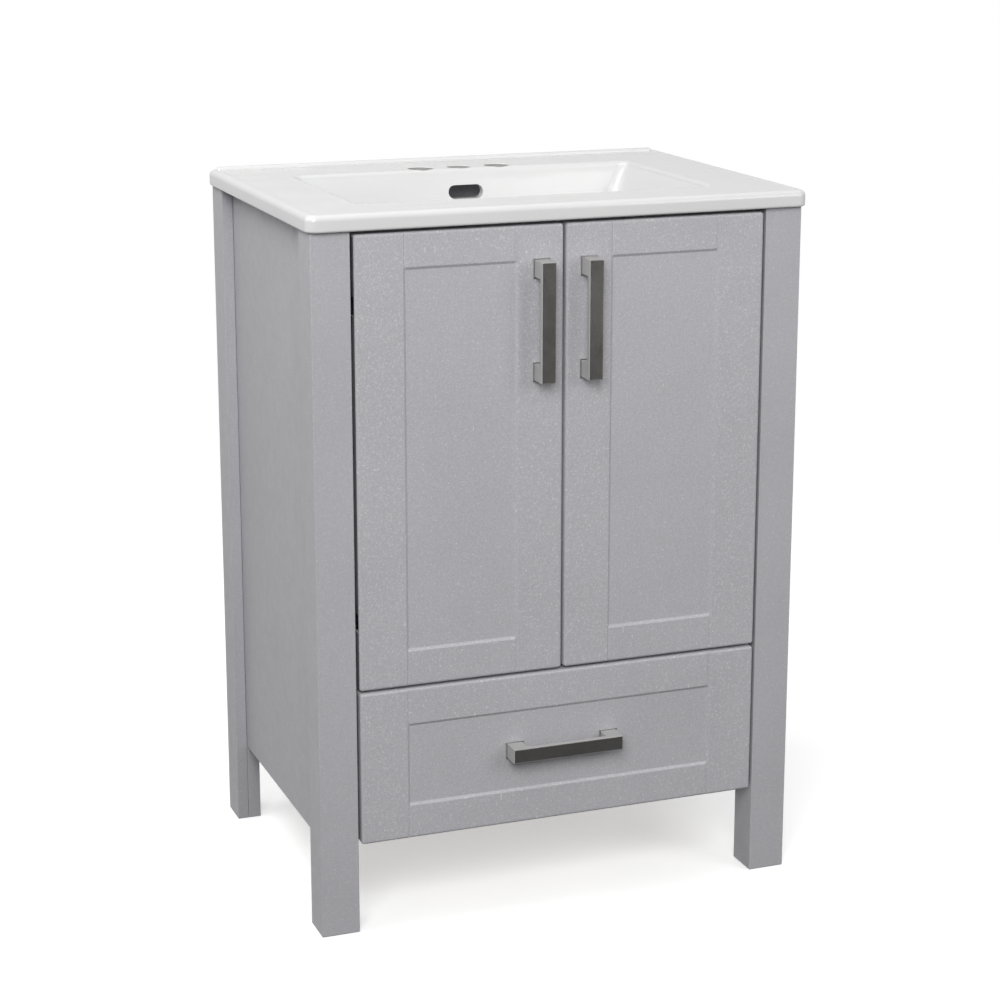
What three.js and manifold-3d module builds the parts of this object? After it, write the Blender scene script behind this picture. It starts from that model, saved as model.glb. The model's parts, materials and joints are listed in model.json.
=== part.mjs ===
// A freestanding bathroom vanity cabinet: a ceramic sink top on a painted cabinet with two
// shaker doors above one drawer. Millimetres, +Z up, front towards -Y. Every piece is drawn
// about the middle of the cabinet on the floor, and the last group centres the whole vanity.

import * as THREE from 'three';
import { mergeVertices } from 'three/addons/utils/BufferGeometryUtils.js';
import Module from 'manifold-3d';

const wasm = await Module();
wasm.setup();

// ---- Driving dimensions ----

const cabinetWidth = 600;
const cabinetDepth = 430;
const cabinetHeight = 830;
const gap = 0.3; // left between pieces that touch

const frontPost = { width: 46, depth: 45 };
const rearPost = { width: 14, depth: 45 };
const boardThick = 16;
const skirtHeight = 100; // the side panels end here, except at the rear leg

const panelThick = 18; // doors and drawer front
const panelProud = 2; // how far they stand in front of the posts
const panelHalfWidth = 250.5;
const doorGap = 3;
const doorZ = [297.5, 826];
const drawerZ = [109.5, 294.5];
const doorRecessZ = [341, 785];
const drawerRecessZ = [151.5, 250];
const stileWidth = 58.5;
const reliefDepth = 2.5;
const edgeChamfer = 3;

const railThick = 18;
const railSetback = 6; // free space between a closed door and the rails behind it
const topRailZ = [785, 830];
const bottomRailZ = [110, 140];
const backRailZ = [750, 830];
const shelfZ = [289, 304];
const lowerBackThick = 12;
const cleatZ = [175, 235];
const braceLeg = 40;
const braceZ = [795, 829.5];

const slabOverhang = { side: 5, front: 8, rear: 4 };
const slabThick = 20;
const slabCorner = 12;
const slabRounding = 5;
const rim = { width: 14, height: 1.5 }; // raised bead round the deck
const lip = { inset: 6, width: 9, height: 3, endInset: 14 }; // taller ridge at the wall
const basinMouth = { halfWidth: 220, y: [-138, 121], corner: 12 };
const basinFloor = { halfWidth: 140, y: [-90, 76], corner: 18 };
const basinDepth = 128;
const basinWall = 9;
const drain = { radius: 22, y: -3 };
const faucet = { spacing: 50.8, y: 140, outerRadius: 16, centreRadius: 15 };
const overflow = { width: 46, height: 17, z: 820 };

const handleWidth = 17.5;
const handleReach = 25;
const gripThick = 6.5;
const footLength = 19.5;
const footFlange = { extra: 1.5, thick: 1.8 };
const handleLength = 139;
const doorHandle = { x: 29, z: 717 };
const drawerHandle = { z: 202 };
const screw = { radius: 2, headRadius: 4, headThick: 2.2, holeRadius: 2.5, bite: 12, tipRoom: 1.5 };

const hinge = {
  inset: 8.5, // pivot, from the door's outer edge
  fromEnd: 81, // hinge centre, from the top or the bottom of the door
  noseHalf: 2.5,
  armThick: 2.7,
  shieldZ: [-14.5, 10.5], // closes the view through the mouth
  shieldRoom: 0.5, // keeps it clear of the door's turning corner
  barrelRadius: 4.5,
  barrelHalf: 5,
  earZ: [5.5, 8],
  pinRadius: 1.5,
  boreRadius: 1.9,
  plateHalf: 20,
  plateThick: 2.5,
  plateMargin: 2, // from the plate to the post's rear edge
  leafHalf: 16,
  leafLength: 35,
  leafThick: 2,
};
const notch = { half: 11, inboard: 9, forward: 5.5 };

const drawerBox = {
  halfWidth: 241,
  length: 350,
  z: [145, 265],
  sideThick: 12,
  bottomThick: 6,
  bottomLift: 6, // the bottom board, above the lower edge of the sides
};
const slide = {
  z: 205,
  length: 350,
  setback: 7, // behind the drawer front
  sheet: 1.4,
  outer: { half: 22.5, web: 252.3, reach: 244.6 },
  middle: { half: 18, web: 249.4, reach: 244.2 },
  inner: { half: 13, web: 241.3, reach: 248.2 },
};
const bumper = { radius: 5, doorX: 14, doorZ: 807, drawerX: 200, drawerZ: 125 };

// ---- Places worked out from them ----

const halfWidth = cabinetWidth / 2;
const frontY = -cabinetDepth / 2;
const backY = cabinetDepth / 2;
const postInnerX = halfWidth - frontPost.width;
const frontPostBackY = frontY + frontPost.depth;
const panelOuterX = halfWidth - rearPost.width;
const panelInnerX = panelOuterX - boardThick;
const doorFaceY = frontY - panelProud;
const doorBackY = doorFaceY + panelThick;
const railY = [doorBackY + railSetback, doorBackY + railSetback + railThick];
const pivot = { x: panelHalfWidth - hinge.inset, y: doorFaceY + panelThick / 2 };
const hingeHeights = { lower: doorZ[0] + hinge.fromEnd, upper: doorZ[1] - hinge.fromEnd };
const drawerBottomZ = [0, drawerBox.bottomThick].map((z) => drawerBox.z[0] + drawerBox.bottomLift + z);
const slabBottom = cabinetHeight + gap;
const slabTop = cabinetHeight + slabThick;
const deckTop = slabTop - rim.height;
const slabX = halfWidth + slabOverhang.side;
const slabY = [frontY - slabOverhang.front, backY + slabOverhang.rear];
const sides = { left: -1, right: 1 };

// ---- Materials ----

function finish(colour, roughness, metalness = 0) {
  return new THREE.MeshStandardMaterial({ color: colour, roughness, metalness });
}

const materials = {
  paint: finish(0xabadb0, 0.55),
  board: finish(0xb4b6b8, 0.7),
  plywood: finish(0xcdb488, 0.65),
  ceramic: finish(0xf2f2f0, 0.12),
  nickel: finish(0x8a8784, 0.35, 1),
  steel: finish(0xb9bcc0, 0.3, 1),
  rubber: finish(0xd8dadb, 0.6),
};

// ---- Solid helpers ----

// A block between two corners, given as a range on each axis.
function block([x0, x1], [y0, y1], [z0, z1]) {
  const geometry = new THREE.BoxGeometry(x1 - x0, y1 - y0, z1 - z0);
  return geometry.translate((x0 + x1) / 2, (y0 + y1) / 2, (z0 + z1) / 2);
}

// A range of X on the left (-1) or right (+1) side, from distances off the middle.
function sideRange(side, a, b) {
  return side < 0 ? [-b, -a] : [a, b];
}

// Points along an arc, in degrees, both ends included.
function arcPoints(x, y, radius, start, end, steps) {
  return Array.from({ length: steps + 1 }, (_, i) => {
    const angle = THREE.MathUtils.degToRad(start + ((end - start) * i) / steps);
    return [x + radius * Math.cos(angle), y + radius * Math.sin(angle)];
  });
}

// An outline seen from above, mirrored for the left side, and pulled up between two heights.
function upright(points, [z0, z1], side = 1) {
  const shape = new THREE.Shape(points.map(([x, y]) => new THREE.Vector2(side * x, y)));
  const geometry = new THREE.ExtrudeGeometry(shape, { depth: z1 - z0, bevelEnabled: false });
  return geometry.translate(0, 0, z0);
}

// A vertical cylinder, and the same one lying along Y.
function post(x, y, radius, [z0, z1], steps = 12) {
  const geometry = new THREE.CylinderGeometry(radius, radius, z1 - z0, steps);
  return geometry.rotateX(Math.PI / 2).translate(x, y, (z0 + z1) / 2);
}
function rod(x, z, radius, [y0, y1], steps = 12) {
  const geometry = new THREE.CylinderGeometry(radius, radius, y1 - y0, steps);
  return geometry.translate(x, (y0 + y1) / 2, z);
}

// A closed skin over rounded rectangles stacked in Z; each level is { z, x, y, corner }.
function loft(levels, cornerSteps) {
  const rings = levels.map(({ z, x, y, corner }) => {
    const corners = [
      [x[1] - corner, y[1] - corner, 0],
      [x[0] + corner, y[1] - corner, 90],
      [x[0] + corner, y[0] + corner, 180],
      [x[1] - corner, y[0] + corner, 270],
    ];
    const flat = corners.flatMap(([cx, cy, start]) =>
      cornerSteps ? arcPoints(cx, cy, corner, start, start + 90, cornerSteps) : [[cx, cy]]);
    return flat.map(([px, py]) => [px, py, z]);
  });
  const count = rings[0].length;
  const index = [];
  for (let level = 0; level < rings.length - 1; level++) {
    for (let i = 0; i < count; i++) {
      const a = level * count + i;
      const b = level * count + ((i + 1) % count);
      index.push(a, b, b + count, a, b + count, a + count);
    }
  }
  const top = (rings.length - 1) * count;
  for (let i = 1; i < count - 1; i++) {
    index.push(0, i + 1, i, top, top + i, top + i + 1);
  }
  const geometry = new THREE.BufferGeometry();
  geometry.setAttribute('position', new THREE.Float32BufferAttribute(rings.flat(2), 3));
  geometry.setIndex(index);
  return geometry;
}

// Booleans: geometries in, one geometry out.
function toSolid(geometry) {
  const bare = geometry.clone();
  bare.deleteAttribute('normal');
  bare.deleteAttribute('uv');
  const merged = mergeVertices(bare, 1e-4);
  return new wasm.Manifold(new wasm.Mesh({
    numProp: 3,
    vertProperties: new Float32Array(merged.attributes.position.array),
    triVerts: new Uint32Array(merged.index.array),
  }));
}
function toGeometry(solid) {
  const mesh = solid.getMesh();
  const geometry = new THREE.BufferGeometry();
  geometry.setAttribute('position', new THREE.BufferAttribute(mesh.vertProperties, 3));
  geometry.setIndex(new THREE.BufferAttribute(mesh.triVerts, 1));
  return geometry;
}
function join(pieces) {
  return toGeometry(pieces.map(toSolid).reduce((whole, piece) => whole.add(piece)));
}
function cut(geometry, tools) {
  return toGeometry(tools.map(toSolid).reduce((rest, tool) => rest.subtract(tool), toSolid(geometry)));
}

const cabinet = new THREE.Group();
function add(name, geometry, material, parent = cabinet) {
  const mesh = new THREE.Mesh(geometry, material);
  mesh.name = name;
  parent.add(mesh);
  return mesh;
}

// ---- Cabinet carcass ----

function frontPostSolid(side) {
  return block(sideRange(side, postInnerX, halfWidth), [frontY, frontPostBackY], [0, cabinetHeight]);
}

function rearPostSolid(side) {
  const x = sideRange(side, panelOuterX + gap, halfWidth);
  return block(x, [backY - rearPost.depth, backY], [0, cabinetHeight]);
}

// The side board ends at the skirt line, but its rear edge runs on down as the inner leg.
function sidePanelSolid(side) {
  const x = sideRange(side, panelInnerX, panelOuterX);
  const board = block(x, [frontPostBackY + gap, backY], [skirtHeight, cabinetHeight]);
  const leg = block(x, [backY - rearPost.depth, backY], [0, skirtHeight + 1]);
  return join([board, leg]);
}

function crossBoard(halfLength, y, z) {
  return block([-halfLength, halfLength], y, z);
}

// The compartment floor, notched round the front posts.
function shelfSolid() {
  const narrow = postInnerX - gap;
  const wide = panelInnerX - gap;
  const stepY = frontPostBackY + gap;
  const outline = [
    [-narrow, railY[0]], [narrow, railY[0]], [narrow, stepY], [wide, stepY],
    [wide, backY], [-wide, backY], [-wide, stepY], [-narrow, stepY],
  ];
  return upright(outline, shelfZ);
}

function cleatSolid(side) {
  const x = sideRange(side, postInnerX, panelInnerX - gap);
  return block(x, [frontPostBackY + gap, backY - lowerBackThick - gap], cleatZ);
}

// A triangular block in the corner between a side panel and the piece across its end.
function braceSolid(side, cornerY, towards) {
  const x = panelInnerX - gap;
  const y = cornerY + towards * gap;
  return upright([[x, y], [x - braceLeg, y], [x, y + towards * braceLeg]], braceZ, side);
}

function addCarcass() {
  const innerPost = postInnerX - gap;
  const innerPanel = panelInnerX - gap;
  const backRailY = [backY - railThick, backY];
  for (const [name, side] of Object.entries(sides)) {
    add(`front_post_${name}`, frontPostSolid(side), materials.paint);
    add(`rear_post_${name}`, rearPostSolid(side), materials.paint);
    add(`side_panel_${name}`, sidePanelSolid(side), materials.paint);
    add(`runner_cleat_${name}`, cleatSolid(side), materials.board);
    add(`corner_brace_front_${name}`, braceSolid(side, frontPostBackY, 1), materials.plywood);
    add(`corner_brace_rear_${name}`, braceSolid(side, backRailY[0], -1), materials.plywood);
  }
  add('front_rail_top', crossBoard(innerPost, railY, topRailZ), materials.paint);
  add('front_rail_bottom', crossBoard(innerPost, railY, bottomRailZ), materials.paint);
  add('back_rail_top', crossBoard(innerPanel, backRailY, backRailZ), materials.board);
  add('shelf_board', shelfSolid(), materials.board);
  const lowerBackY = [backY - lowerBackThick, backY];
  const lowerBackZ = [bottomRailZ[0], shelfZ[0] - gap];
  add('back_panel_lower', crossBoard(innerPanel, lowerBackY, lowerBackZ), materials.board);
}

// ---- Sink top ----

// The basin at a share of its depth, 0 at the deck and 1 on its floor, grown by a wall.
function basinLevel(share, grow) {
  const mix = (a, b) => a + (b - a) * share;
  const half = mix(basinMouth.halfWidth, basinFloor.halfWidth) + grow;
  return {
    x: [-half, half],
    y: [mix(basinMouth.y[0], basinFloor.y[0]) - grow, mix(basinMouth.y[1], basinFloor.y[1]) + grow],
    corner: mix(basinMouth.corner, basinFloor.corner) + grow / 2,
  };
}

// Walls that slope in more and more, down to a flat floor.
function basinSkin(grow, topZ, floorZ) {
  const depthShares = [0.36, 0.75, 0.93, 1];
  const inwardShares = [0.26, 0.58, 0.78, 1];
  const levels = [{ z: topZ, ...basinLevel(0, grow) }];
  depthShares.forEach((depth, i) => {
    levels.unshift({ z: deckTop - depth * (deckTop - floorZ), ...basinLevel(inwardShares[i], grow) });
  });
  return loft(levels, 4);
}

function slabSkin() {
  const level = (z, inset) => ({
    z,
    x: [-slabX + inset, slabX - inset],
    y: [slabY[0] + inset, slabY[1] - inset],
    corner: slabCorner - inset / 2,
  });
  return loft([
    level(slabBottom, 0),
    level(slabTop - slabRounding, 0),
    level(slabTop - slabRounding / 3, slabRounding / 3),
    level(slabTop, slabRounding),
  ], 4);
}

function overflowTool() {
  const half = (overflow.width - overflow.height) / 2;
  const radius = overflow.height / 2;
  const y = [basinMouth.y[1] - 40, basinMouth.y[1] + 40];
  const z = [overflow.z - radius, overflow.z + radius];
  const middle = block([-half, half], y, z);
  const ends = [-half, half].map((x) => rod(x, overflow.z, radius, y, 16));
  return join([middle, ...ends]);
}

function sinkTopSolid() {
  const floorZ = deckTop - basinDepth;
  const lipX = slabX - lip.endInset;
  const lipY = [slabY[1] - lip.inset - lip.width, slabY[1] - lip.inset];
  const lipBlock = block([-lipX, lipX], lipY, [deckTop - 1, slabTop + lip.height]);
  const deckPocket = loft([deckTop, slabTop + 5].map((z) => ({
    z,
    x: [-slabX + rim.width, slabX - rim.width],
    y: [slabY[0] + rim.width, lipY[0] - 1],
    corner: slabCorner / 2,
  })), 4);
  const outside = join([
    cut(slabSkin(), [deckPocket]),
    basinSkin(basinWall, slabBottom + 1, floorZ - basinWall),
    lipBlock,
  ]);
  const holes = [-1, 0, 1].map((place) => {
    const radius = place ? faucet.outerRadius : faucet.centreRadius;
    return post(place * faucet.spacing, faucet.y, radius, [slabBottom - 12, slabTop + 5], 24);
  });
  const drainHole = post(0, drain.y, drain.radius, [floorZ - 20, floorZ + 5], 24);
  return cut(outside, [basinSkin(0, slabTop + 5, floorZ), drainHole, overflowTool(), ...holes]);
}

// ---- Door and drawer fronts ----

// A board with a chamfered front edge and a shallow recessed field, lying in its place.
function frontBoard(x, z, recessX, recessZ) {
  const level = (height, inset) => ({
    z: height,
    x: [x[0] + inset, x[1] - inset],
    y: [z[0] + inset, z[1] - inset],
    corner: 0,
  });
  const board = loft([
    level(-doorBackY, 0),
    level(-doorFaceY - edgeChamfer, 0),
    level(-doorFaceY, edgeChamfer),
  ], 0).rotateX(Math.PI / 2);
  const field = block(recessX, [doorFaceY - 1, doorFaceY + reliefDepth], recessZ);
  return { board, field };
}

function screwHole(x, z) {
  return rod(x, z, screw.holeRadius, [doorFaceY - 1, doorBackY + 1]);
}

// The mouth in the door's back and outer edge that the hinge arm swings through.
function hingeNotch(side, z) {
  const x = sideRange(side, pivot.x - notch.inboard, panelHalfWidth + 1);
  return block(x, [pivot.y - notch.forward, doorBackY + 1], [z - notch.half, z + notch.half]);
}

function doorSolid(side) {
  const x = sideRange(side, doorGap / 2, panelHalfWidth);
  const recessX = sideRange(side, stileWidth, panelHalfWidth - stileWidth);
  const { board, field } = frontBoard(x, doorZ, recessX, doorRecessZ);
  const holes = handleFeet().map((z) => screwHole(side * doorHandle.x, doorHandle.z + z));
  const notches = Object.values(hingeHeights).map((z) => hingeNotch(side, z));
  return cut(board, [field, ...holes, ...notches]);
}

function drawerFrontSolid() {
  const recess = panelHalfWidth - stileWidth;
  const x = [-panelHalfWidth, panelHalfWidth];
  const { board, field } = frontBoard(x, drawerZ, [-recess, recess], drawerRecessZ);
  const holes = handleFeet().map((place) => screwHole(place, drawerHandle.z));
  return cut(board, [field, ...holes]);
}

// ---- Handles ----

// The two foot centres, measured along a handle from its middle.
function handleFeet() {
  return [-1, 1].map((end) => (end * (handleLength - footLength)) / 2);
}

// A square bar pull along X, its feet on the plane Y = 0 and its grip towards -Y.
function handleSolid() {
  const wide = [-handleWidth / 2, handleWidth / 2];
  const half = handleLength / 2;
  const grip = block([-half, half], [-handleReach, gripThick - handleReach], wide);
  const flange = handleWidth / 2 + footFlange.extra;
  const feet = [-1, 1].flatMap((end) => [
    block(sideRange(end, half - footLength, half), [-handleReach + 1, -gap], wide),
    block(
      sideRange(end, half - footLength - footFlange.extra, half + footFlange.extra),
      [-gap - footFlange.thick, -gap],
      [-flange, flange],
    ),
  ]);
  const bores = handleFeet().map((x) => rod(x, 0, screw.holeRadius, [-screw.bite - 1, 1]));
  return cut(join([grip, ...feet]), bores);
}

// A screw along Y whose head rests on the back of a board and whose tip points to -Y.
function screwSolid(length) {
  const profile = [
    [0, 0], [screw.headRadius, 0], [screw.headRadius, screw.headThick],
    [screw.radius, screw.headThick], [screw.radius, screw.headThick + length],
    [0, screw.headThick + length],
  ].map(([r, y]) => new THREE.Vector2(r, y));
  return new THREE.LatheGeometry(profile, 12).rotateX(Math.PI);
}

function addHandle(name, faceY, x, z, turn) {
  const holder = new THREE.Group();
  holder.position.set(x, faceY, z);
  holder.rotation.y = turn;
  cabinet.add(holder);
  add(name, handleSolid(), materials.nickel, holder);
  const boardThickness = doorBackY - faceY;
  const shank = boardThickness + gap + screw.bite - screw.tipRoom;
  handleFeet().forEach((place, i) => {
    const fastener = add(`${name}_screw_${i + 1}`, screwSolid(shank), materials.steel, holder);
    fastener.position.set(place, boardThickness + gap + screw.headThick, 0);
  });
}

// ---- Hinges ----

// Outlines are drawn from the pivot: X outwards to the post, Y back into the cabinet.
function fromPivot(points) {
  return points.map(([x, y]) => [pivot.x + x, pivot.y + y]);
}

function hingeBore(side, z) {
  return post(side * pivot.x, pivot.y, hinge.boreRadius, [z - 20, z + 20]);
}

// The fixed arm: a plate on the post, a nose that reaches round to the barrel, and a shield
// behind the door's mouth.
function hingeArmSolid(side, z) {
  const plateX = postInnerX - gap - pivot.x;
  const turnY = railY[0] - pivot.y;
  const armY = turnY - hinge.armThick;
  const outline = [
    ...arcPoints(0, 0, hinge.barrelRadius, 125, 415, 12),
    [hinge.noseHalf, armY], [plateX - 1, armY], [plateX - 1, turnY], [-hinge.noseHalf, turnY],
  ];
  const arm = upright(fromPivot(outline), [z - hinge.barrelHalf, z + hinge.barrelHalf], side);
  const plate = block(
    sideRange(side, postInnerX - gap - hinge.plateThick, postInnerX - gap),
    [railY[0] - hinge.armThick, frontPostBackY - hinge.plateMargin],
    [z - hinge.plateHalf, z + hinge.plateHalf],
  );
  const shieldY = [railY[0] - hinge.armThick, railY[0]].map((y) => y + hinge.shieldRoom);
  const shieldX = sideRange(side, pivot.x - hinge.noseHalf, postInnerX - gap);
  const shield = block(shieldX, shieldY, hinge.shieldZ.map((height) => z + height));
  return cut(join([arm, plate, shield]), [hingeBore(side, z)]);
}

// The moving leaf: a plate on the door's back, and two ears either side of the barrel.
function hingeLeafSolid(side, z) {
  const back = [doorBackY + gap - pivot.y, doorBackY + gap + hinge.leafThick - pivot.y];
  const r = hinge.barrelRadius;
  const ear = [
    ...arcPoints(0, 0, r, 180, 360, 8),
    [r, back[1]], [-notch.inboard - 3, back[1]], [-notch.inboard - 3, back[0]], [-r, back[0]],
  ];
  const ears = [-1, 1].map((end) => {
    const heights = sideRange(end, ...hinge.earZ).map((h) => z + h);
    return upright(fromPivot(ear), heights, side);
  });
  const inboard = pivot.x - notch.inboard - 0.5;
  const plate = block(
    sideRange(side, inboard - hinge.leafLength, inboard),
    back.map((y) => pivot.y + y),
    [z - hinge.leafHalf, z + hinge.leafHalf],
  );
  return cut(join([plate, ...ears]), [hingeBore(side, z)]);
}

function hingePinSolid(side, z) {
  const top = z + hinge.earZ[1] + gap;
  const shank = post(side * pivot.x, pivot.y, hinge.pinRadius, [z - hinge.earZ[1] - 0.5, top + 0.5]);
  const head = post(side * pivot.x, pivot.y, hinge.boreRadius + 0.8, [top, top + 1]);
  return join([shank, head]);
}

// ---- Drawer box and slides ----

function drawerSideSolid(side) {
  const inner = drawerBox.halfWidth - drawerBox.sideThick;
  const y = [doorBackY + gap, doorBackY + gap + drawerBox.length];
  const board = block(sideRange(side, inner, drawerBox.halfWidth), y, drawerBox.z);
  const groove = block(
    sideRange(side, inner - 1, inner + drawerBox.sideThick / 2 + gap),
    [y[0] - 1, y[1] + 1],
    [drawerBottomZ[0] - gap, drawerBottomZ[1] + gap],
  );
  return cut(board, [groove]);
}

function addDrawerBox() {
  const y = [doorBackY + gap, doorBackY + gap + drawerBox.length];
  const inner = drawerBox.halfWidth - drawerBox.sideThick;
  for (const [name, side] of Object.entries(sides)) {
    add(`drawer_side_${name}`, drawerSideSolid(side), materials.plywood);
  }
  const bottomHalf = inner + drawerBox.sideThick / 2;
  add('drawer_bottom', crossBoard(bottomHalf, y, drawerBottomZ), materials.plywood);
  const backRange = [y[1] - drawerBox.sideThick, y[1]];
  const backZ = [drawerBottomZ[1] + gap, drawerBox.z[1]];
  add('drawer_back', crossBoard(inner - gap, backRange, backZ), materials.plywood);
}

// A folded steel channel along Y: a web, and two flanges that reach across from it.
function channelSolid(side, { half, web, reach }) {
  const start = doorBackY + slide.setback;
  const y = [start, start + slide.length];
  const webRange = [web, web + slide.sheet];
  const flangeRange = web < reach ? [web, reach] : [reach, web + slide.sheet];
  const flange = (end) => sideRange(end, half - slide.sheet, half).map((h) => slide.z + h);
  return join([
    block(sideRange(side, ...webRange), y, [slide.z - half, slide.z + half]),
    block(sideRange(side, ...flangeRange), y, flange(1)),
    block(sideRange(side, ...flangeRange), y, flange(-1)),
  ]);
}

function addSlides() {
  for (const [name, side] of Object.entries(sides)) {
    for (const member of ['outer', 'middle', 'inner']) {
      add(`slide_${member}_${name}`, channelSolid(side, slide[member]), materials.steel);
    }
  }
}

// ---- Bumpers ----

function bumperSolid(x, z) {
  return rod(x, z, bumper.radius, [doorBackY + gap, railY[0] - gap]);
}

// ---- Assembly ----

addCarcass();
add('sink_top', sinkTopSolid(), materials.ceramic);
add('drawer_front', drawerFrontSolid(), materials.paint);
addHandle('drawer_handle', doorFaceY + reliefDepth, 0, drawerHandle.z, 0);
for (const [name, side] of Object.entries(sides)) {
  add(`door_${name}`, doorSolid(side), materials.paint);
  addHandle(`door_handle_${name}`, doorFaceY, side * doorHandle.x, doorHandle.z, Math.PI / 2);
  for (const [level, z] of Object.entries(hingeHeights)) {
    add(`hinge_arm_${name}_${level}`, hingeArmSolid(side, z), materials.steel);
    add(`hinge_leaf_${name}_${level}`, hingeLeafSolid(side, z), materials.steel);
    add(`hinge_pin_${name}_${level}`, hingePinSolid(side, z), materials.steel);
  }
  add(`door_bumper_${name}`, bumperSolid(side * bumper.doorX, bumper.doorZ), materials.rubber);
  add(`drawer_bumper_${name}`, bumperSolid(side * bumper.drawerX, bumper.drawerZ), materials.rubber);
}
addDrawerBox();
addSlides();

// Centre the vanity front to back: the door handles reach further out than the slab.
const vanity = new THREE.Group();
const frontReach = panelProud + handleReach;
cabinet.position.y = (frontReach - slabOverhang.rear) / 2;
vanity.add(cabinet);

export default vanity;
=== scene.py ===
"""A freestanding bathroom vanity: its looks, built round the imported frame. Metres, front towards -Y."""

import json
import math

import bmesh
import bpy
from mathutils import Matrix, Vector


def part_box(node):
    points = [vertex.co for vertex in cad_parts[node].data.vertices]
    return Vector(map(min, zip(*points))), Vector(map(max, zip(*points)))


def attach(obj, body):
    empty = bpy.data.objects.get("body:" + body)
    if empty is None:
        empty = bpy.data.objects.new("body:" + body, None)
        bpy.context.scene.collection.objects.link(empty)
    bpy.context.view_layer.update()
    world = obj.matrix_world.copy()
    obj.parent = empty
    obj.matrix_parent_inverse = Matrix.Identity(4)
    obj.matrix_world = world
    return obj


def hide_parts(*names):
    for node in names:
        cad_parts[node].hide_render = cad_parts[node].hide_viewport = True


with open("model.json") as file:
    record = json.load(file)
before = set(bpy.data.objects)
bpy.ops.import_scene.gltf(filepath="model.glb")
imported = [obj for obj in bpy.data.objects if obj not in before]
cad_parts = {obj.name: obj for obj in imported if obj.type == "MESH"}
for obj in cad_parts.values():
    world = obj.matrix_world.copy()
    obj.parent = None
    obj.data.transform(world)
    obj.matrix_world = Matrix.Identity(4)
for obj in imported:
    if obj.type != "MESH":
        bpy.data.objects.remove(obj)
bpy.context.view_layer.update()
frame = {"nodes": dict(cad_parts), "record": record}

MM = 0.001
record = frame["record"]
SLOT_OF = {row["node"]: row["material_slot"] for row in record["subparts"]}
BODY_OF = {node: body for body, members in record["behaviour"]["bodies"].items() for node in members}

# ---- Materials ----


class Graph:
    """A material's nodes, written as calls: each call adds a node and gives back its output."""

    def __init__(self, name):
        self.material = bpy.data.materials.new(name)
        self.material.use_nodes = True
        self.tree = self.material.node_tree
        self.shader = self.tree.nodes["Principled BSDF"]
        self.place = self.node("ShaderNodeTexCoord").outputs["Object"]

    def node(self, kind, settings=None, **inputs):
        made = self.tree.nodes.new(kind)
        for key, value in (settings or {}).items():
            setattr(made, key, value)
        for key, value in inputs.items():
            self.feed(made.inputs[key.replace("_", " ")], value)
        return made

    def feed(self, socket, value):
        if isinstance(value, bpy.types.NodeSocket):
            self.tree.links.new(value, socket)
        else:
            socket.default_value = value

    def stretched(self, stretch):
        return self.node("ShaderNodeMapping", Vector=self.place, Scale=stretch).outputs["Vector"]

    def noise(self, scale, detail=2.0, roughness=0.5, stretch=None):
        place = self.stretched(stretch) if stretch else self.place
        made = self.node("ShaderNodeTexNoise", Vector=place, Scale=scale, Detail=detail, Roughness=roughness)
        return made.outputs["Fac"]

    def cells(self, scale, output="Distance"):
        return self.node("ShaderNodeTexVoronoi", Vector=self.place, Scale=scale).outputs[output]

    def spread(self, value, low, high, to_low=0.0, to_high=1.0):
        """value's range low..high, mapped to to_low..to_high and held there."""
        made = self.node("ShaderNodeMapRange", Value=value)
        for socket, number in zip(made.inputs[1:5], (low, high, to_low, to_high)):
            socket.default_value = number
        return made.outputs["Result"]

    def math(self, operation, a, b):
        made = self.node("ShaderNodeMath", {"operation": operation})
        self.feed(made.inputs[0], a)
        self.feed(made.inputs[1], b)
        return made.outputs["Value"]

    def mix(self, factor, a, b):
        """Colour a where factor is 0, colour b where it is 1."""
        made = self.node("ShaderNodeMix", {"data_type": "RGBA"})
        self.feed(made.inputs["Factor"], factor)
        self.feed(made.inputs[6], a)
        self.feed(made.inputs[7], b)
        return made.outputs[2]

    def bump(self, height, strength, distance, under=None):
        made = self.node("ShaderNodeBump", Height=height, Strength=strength, Distance=distance)
        if under:
            self.feed(made.inputs["Normal"], under)
        return made.outputs["Normal"]

    def shade(self, **inputs):
        for key, value in inputs.items():
            self.feed(self.shader.inputs[key.replace("_", " ")], value)
        return self.material


def grey(value, tint=(1.0, 1.0, 1.0)):
    return tuple(value * part for part in tint) + (1.0,)


COOL = (1.0, 0.988, 1.045)
PAINT_TONE = 0.42
FLECKS = ((640, 0.62, 0.5), (330, 0.70, 0.6))  # fineness, noise level they start at, strength
FOOT_SHADE_FROM = (-234 * MM, -229 * MM)  # behind this depth a handle is its feet, darkened as painted shade near the board
FLOOR_GLOW = 0.4
FLOOR_FADE = (0.9, 1.9)  # metres from the middle


def painted(name, tone, fleck_strength, bump_strength):
    """Satin grey paint or foil: a fine orange-peel skin, faint clouding, and pearl flecks."""
    g = Graph(name)
    cloud = g.noise(7, detail=4)
    grain = g.noise(420, detail=2, roughness=0.7)
    colour = g.mix(g.spread(cloud, 0.3, 0.7), grey(tone * 0.97, COOL), grey(tone * 1.03, COOL))
    mottle = g.spread(grain, 0.35, 0.75, 0, 0.55 * fleck_strength)
    colour = g.mix(mottle, colour, grey(tone * 1.5, COOL))
    for size, start, strength in FLECKS:
        fleck = g.spread(g.noise(size, detail=0), start, start + 0.12, 0, strength * fleck_strength)
        colour = g.mix(fleck, colour, grey(0.8))
    skin = g.bump(grain, bump_strength, 0.12 * MM, g.bump(g.noise(900, detail=1), bump_strength, 0.08 * MM))
    return g.shade(
        Base_Color=colour,
        Roughness=g.spread(g.noise(60), 0.3, 0.7, 0.42, 0.54),
        Specular_IOR_Level=0.42,
        Normal=skin,
    )


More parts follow.
